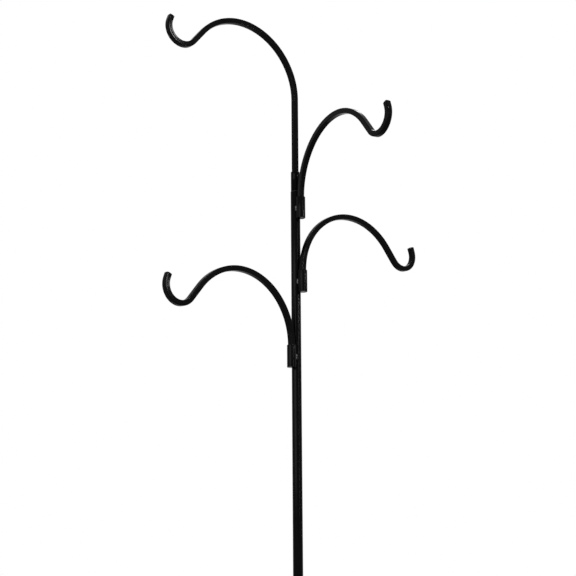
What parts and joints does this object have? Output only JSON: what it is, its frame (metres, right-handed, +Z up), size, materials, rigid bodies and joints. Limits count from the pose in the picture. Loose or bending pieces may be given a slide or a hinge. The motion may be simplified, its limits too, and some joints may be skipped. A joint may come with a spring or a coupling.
{
  "type": "hanging plant stand",
  "caption": "Tall black metal floor stand with bent legs, a round pole and curved square-bar hook arms that swivel in welded sockets.",
  "frame": {"origin": "on the pole's axis at floor level, at the centre of the rubber foot's underside", "axes": "+Z up along the pole; -Y towards the viewer of the picture, +X to the viewer's right"},
  "size_m": [0.5065, 0.5306, 2.1393],
  "materials": {
    "black_powder_coat": "semi-gloss black powder coat over steel",
    "black_fasteners": "black zinc-plated steel",
    "black_rubber": "matt moulded rubber"
  },
  "bodies": {
    "stand": {"pole_lower": "black_powder_coat", "pole_upper": "black_powder_coat", "pole_foot": "black_rubber", "pole_top_plug": "black_powder_coat", "top_socket": "black_powder_coat", "upper_socket": "black_powder_coat", "middle_socket": "black_powder_coat", "lower_socket": "black_powder_coat", "upper_socket_floor": "black_powder_coat", "middle_socket_floor": "black_powder_coat", "lower_socket_floor": "black_powder_coat", "top_socket_weld": "black_powder_coat", "socket_welds": "black_powder_coat", "rear_right_leg": "black_powder_coat", "rear_left_leg": "black_powder_coat", "front_left_leg": "black_powder_coat", "front_right_leg": "black_powder_coat", "rear_right_foot_cap": "black_rubber", "rear_left_foot_cap": "black_rubber", "front_left_foot_cap": "black_rubber", "front_right_foot_cap": "black_rubber", "leg_bolts": "black_fasteners", "leg_washers": "black_fasteners", "leg_cap_nuts": "black_fasteners"},
    "top_arm": {"top_arm": "black_powder_coat"},
    "upper_arm": {"upper_arm": "black_powder_coat"},
    "middle_arm": {"middle_arm": "black_powder_coat"},
    "lower_arm": {"lower_arm": "black_powder_coat"}
  },
  "joints": [
    {"name": "top_arm_swivel", "type": "hinge", "parent": "stand", "child": "top_arm", "pos_m": [0, 0, 1.848], "axis": [0, 0, 1], "continuous": true},
    {"name": "upper_arm_swivel", "type": "hinge", "parent": "stand", "child": "upper_arm", "pos_m": [0.0108, -0.0148, 1.791], "axis": [0, 0, 1], "range_deg": [-114, 126]},
    {"name": "middle_arm_swivel", "type": "hinge", "parent": "stand", "child": "middle_arm", "pos_m": [0.0134, -0.0125, 1.641], "axis": [0, 0, 1], "range_deg": [-202, 38]},
    {"name": "lower_arm_swivel", "type": "hinge", "parent": "stand", "child": "lower_arm", "pos_m": [-0.0097, -0.0155, 1.491], "axis": [0, 0, 1], "range_deg": [-106, 134]}
  ]
}
